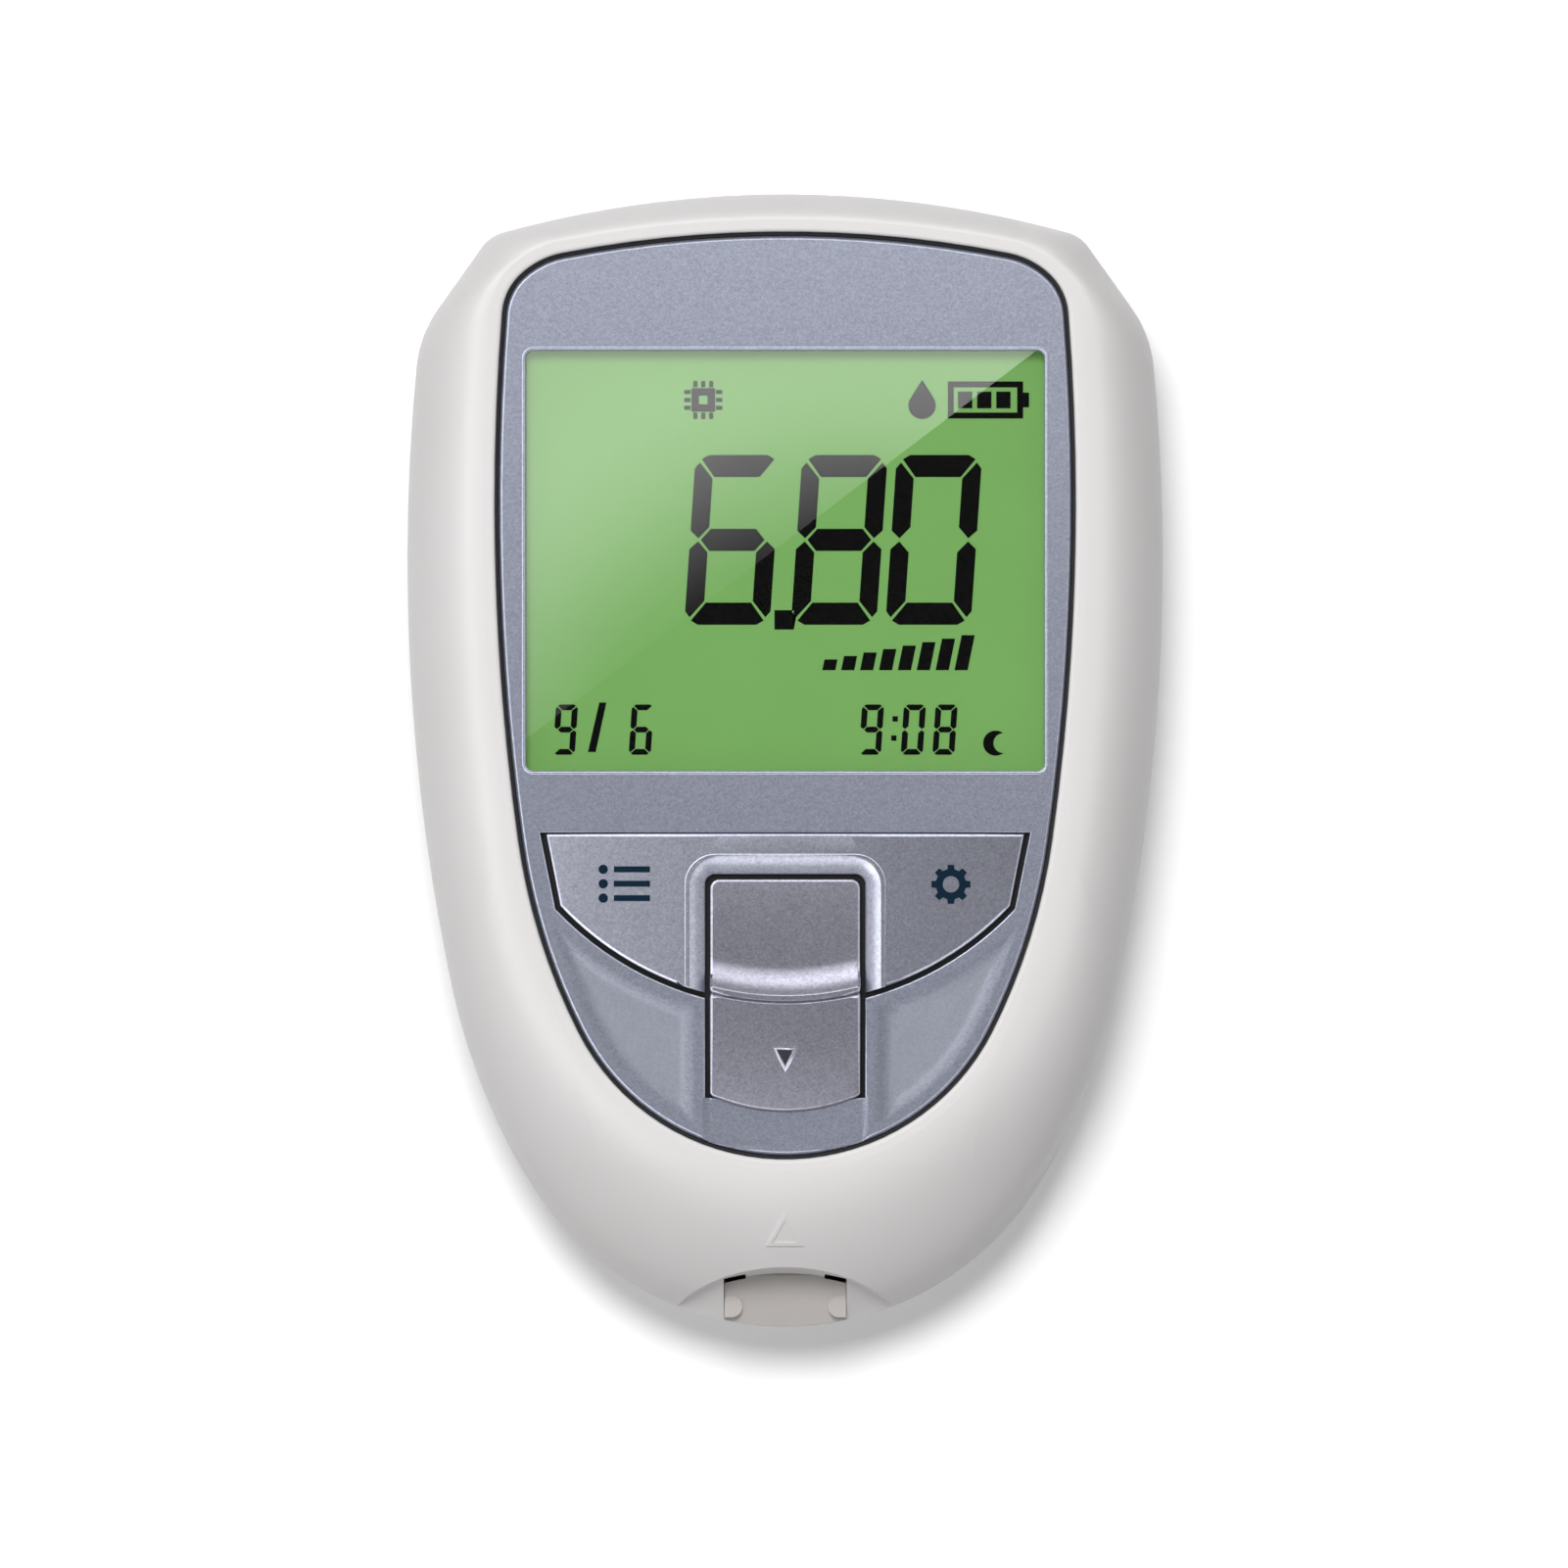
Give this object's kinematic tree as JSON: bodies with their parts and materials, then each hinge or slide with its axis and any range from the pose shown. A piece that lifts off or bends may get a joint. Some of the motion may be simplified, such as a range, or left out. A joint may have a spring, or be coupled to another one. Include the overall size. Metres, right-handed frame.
{
  "type": "blood glucose meter",
  "caption": "Handheld meter with a green display, a rocking key plate, a thumb slider that ejects the test strip, and a battery door in the back.",
  "frame": {"origin": "middle of the outline, on the flat of the back that the meter lies on", "axes": "+Z out of the display, +Y to the top end of the meter, +X to its right"},
  "size_m": [0.0634, 0.095, 0.0225],
  "materials": {
    "shell": "satin white moulding",
    "face_paint": "fine metallic blue-grey lacquer",
    "key_paint": "fine metallic warm grey lacquer",
    "slider_paint": "fine metallic grey lacquer",
    "gasket": "matt black rubber",
    "lens": "clear polished window",
    "lcd": "lit green display glass",
    "backlight": "clear light guide",
    "frame": "black moulding",
    "zebra": "striped silicone rubber",
    "board": "green solder mask",
    "chip": "black moulded package",
    "steel": "plain steel",
    "screw": "zinc-plated steel",
    "silicone": "grey silicone rubber",
    "carbon": "carbon-filled rubber",
    "tray": "light grey moulding",
    "connector": "black moulding",
    "gold": "gold-plated leaves",
    "inner_white": "natural acetal",
    "cell": "plain printed sleeve",
    "label": "blank satin label"
  },
  "bodies": {
    "case": {"top_housing": "shell", "bottom_housing": "shell", "rear_label": "label", "face_gasket": "gasket", "faceplate": "face_paint", "window_lens": "lens", "lcd_cell": "lcd", "lcd_backlight": "backlight", "lcd_connector": "zebra", "lcd_frame": "frame", "main_board": "board", "processor_chips": "chip", "quartz_crystal": "steel", "buzzer": "chip", "key_mat": "silicone", "carbon_pills": "carbon", "eject_spring": "steel", "strip_tray": "tray", "strip_connector": "connector", "strip_contacts": "gold", "battery_cells": "cell", "battery_springs": "steel", "battery_plates": "steel", "housing_screws": "screw", "board_screws": "screw"},
    "key_rocker": {"key_plate": "key_paint"},
    "ejector": {"eject_slider": "slider_paint", "eject_carriage": "inner_white", "slider_screw": "screw"},
    "door": {"battery_door": "shell", "door_latch": "shell"}
  },
  "joints": [
    {"name": "key_rock", "type": "hinge", "parent": "case", "child": "key_rocker", "pos_m": [0, -0.0079, 0.0204], "axis": [0, 1, 0], "range_deg": [-1.4, 1.4], "stiffness_Nm_per_rad": 0.6, "deforming": ["key_mat"]},
    {"name": "eject_slide", "type": "slide", "parent": "case", "child": "ejector", "axis": [0, -1, 0], "range_m": [0, 0.0025], "stiffness_N_per_m": 500, "springref_m": -0.002, "deforming": ["eject_spring"]},
    {"name": "door_swing", "type": "hinge", "parent": "case", "child": "door", "pos_m": [0, -0.0176, 0.0009], "axis": [-1, 0, 0], "range_deg": [0, 75], "deforming": ["door_latch"]}
  ]
}
